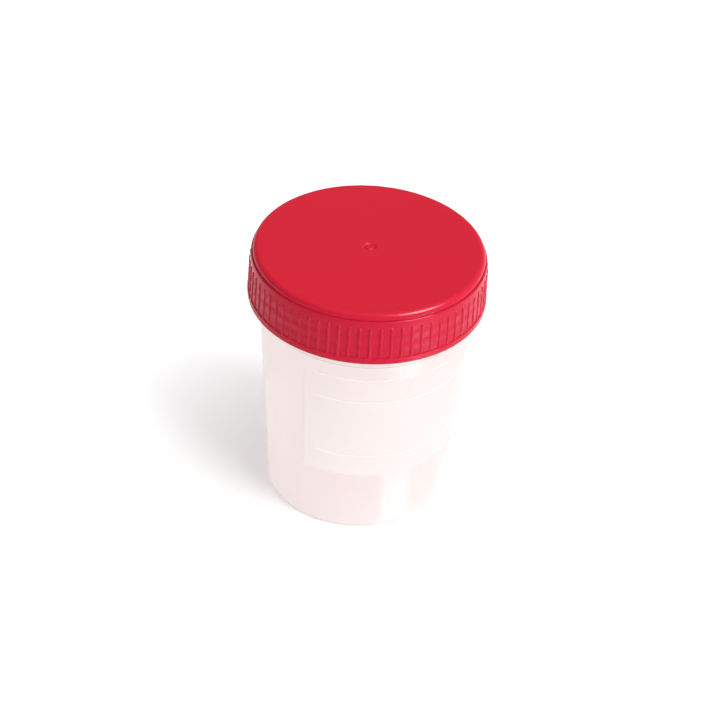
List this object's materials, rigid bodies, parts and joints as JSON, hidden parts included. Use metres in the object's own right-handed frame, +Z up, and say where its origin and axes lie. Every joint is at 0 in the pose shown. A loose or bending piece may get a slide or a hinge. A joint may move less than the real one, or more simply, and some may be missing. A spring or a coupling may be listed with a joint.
{
  "type": "urine specimen container",
  "caption": "Tapered translucent specimen cup with a raised frosted writing panel, closed by a ribbed red screw lid on a quick multi-start thread.",
  "frame": {"origin": "centre of the foot ring, on the surface that the container stands on", "axes": "+Z up along the cup's axis; the frosted writing panel is centred on -Y and the volume scale on +Y"},
  "size_m": [0.065, 0.065, 0.078],
  "materials": {
    "translucent_cup": "milky translucent polypropylene, polished, with a frosted writing panel",
    "red_lid": "satin moulded plastic",
    "white_foam": "fine closed-cell foam sheet"
  },
  "bodies": {
    "cup": {"cup": "translucent_cup"},
    "liner": {"seal_liner": "white_foam"},
    "lid": {"screw_lid": "red_lid"}
  },
  "joints": [
    {"name": "lid_lift", "type": "slide", "parent": "cup", "child": "liner", "axis": [0, 0, 1], "range_m": [0, 0.01531]},
    {"name": "lid_turn", "type": "hinge", "parent": "liner", "child": "lid", "pos_m": [0, 0, 0.0766], "axis": [0, 0, 1], "range_deg": [0, 540]}
  ],
  "couplings": [
    {"joint": "lid_lift", "follows": "lid_turn", "m_per_rad": 0.0016234}
  ]
}
